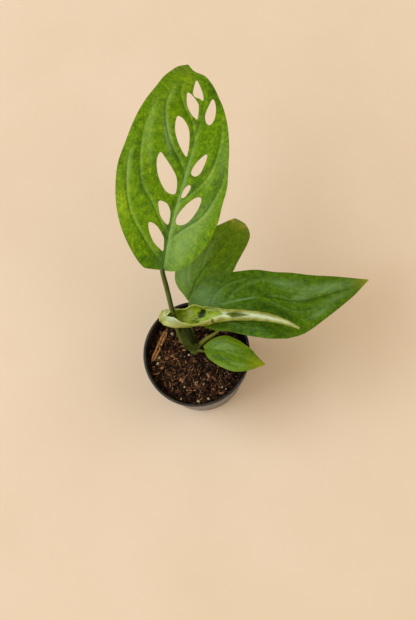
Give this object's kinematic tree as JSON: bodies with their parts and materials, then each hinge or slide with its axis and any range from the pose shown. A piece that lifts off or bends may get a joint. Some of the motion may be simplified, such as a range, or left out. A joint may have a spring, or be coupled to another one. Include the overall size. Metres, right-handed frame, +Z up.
{
  "type": "potted monstera obliqua",
  "caption": "Young climbing aroid with one large perforated leaf, plain leaves and a rolled new leaf, rooted in soil in a round nursery pot.",
  "frame": {"origin": "middle of the pot's underside, on the surface that it stands on", "axes": "+Z up along the pot's axis, +Y the way the large leaf points, +X the way the right-hand leaf points"},
  "size_m": [0.1988, 0.2736, 0.1625],
  "materials": {
    "pot": "black injection-moulded plastic, satin gloss",
    "soil": "moist coir and bark mix with perlite",
    "stem": "smooth living green stalk",
    "leaf": "living leaf, satin with sunken veins",
    "new_leaf": "pale young leaf, satin"
  },
  "bodies": {
    "root": {"pot": "pot", "soil": "soil", "stem": "stem", "stalk_large": "stem", "stalk_back": "stem", "stalk_right": "stem", "stalk_small": "stem", "stalk_new": "stem", "leaf_large": "leaf", "leaf_back": "leaf", "leaf_right": "leaf", "leaf_small": "leaf", "leaf_new": "new_leaf"}
  },
  "joints": []
}
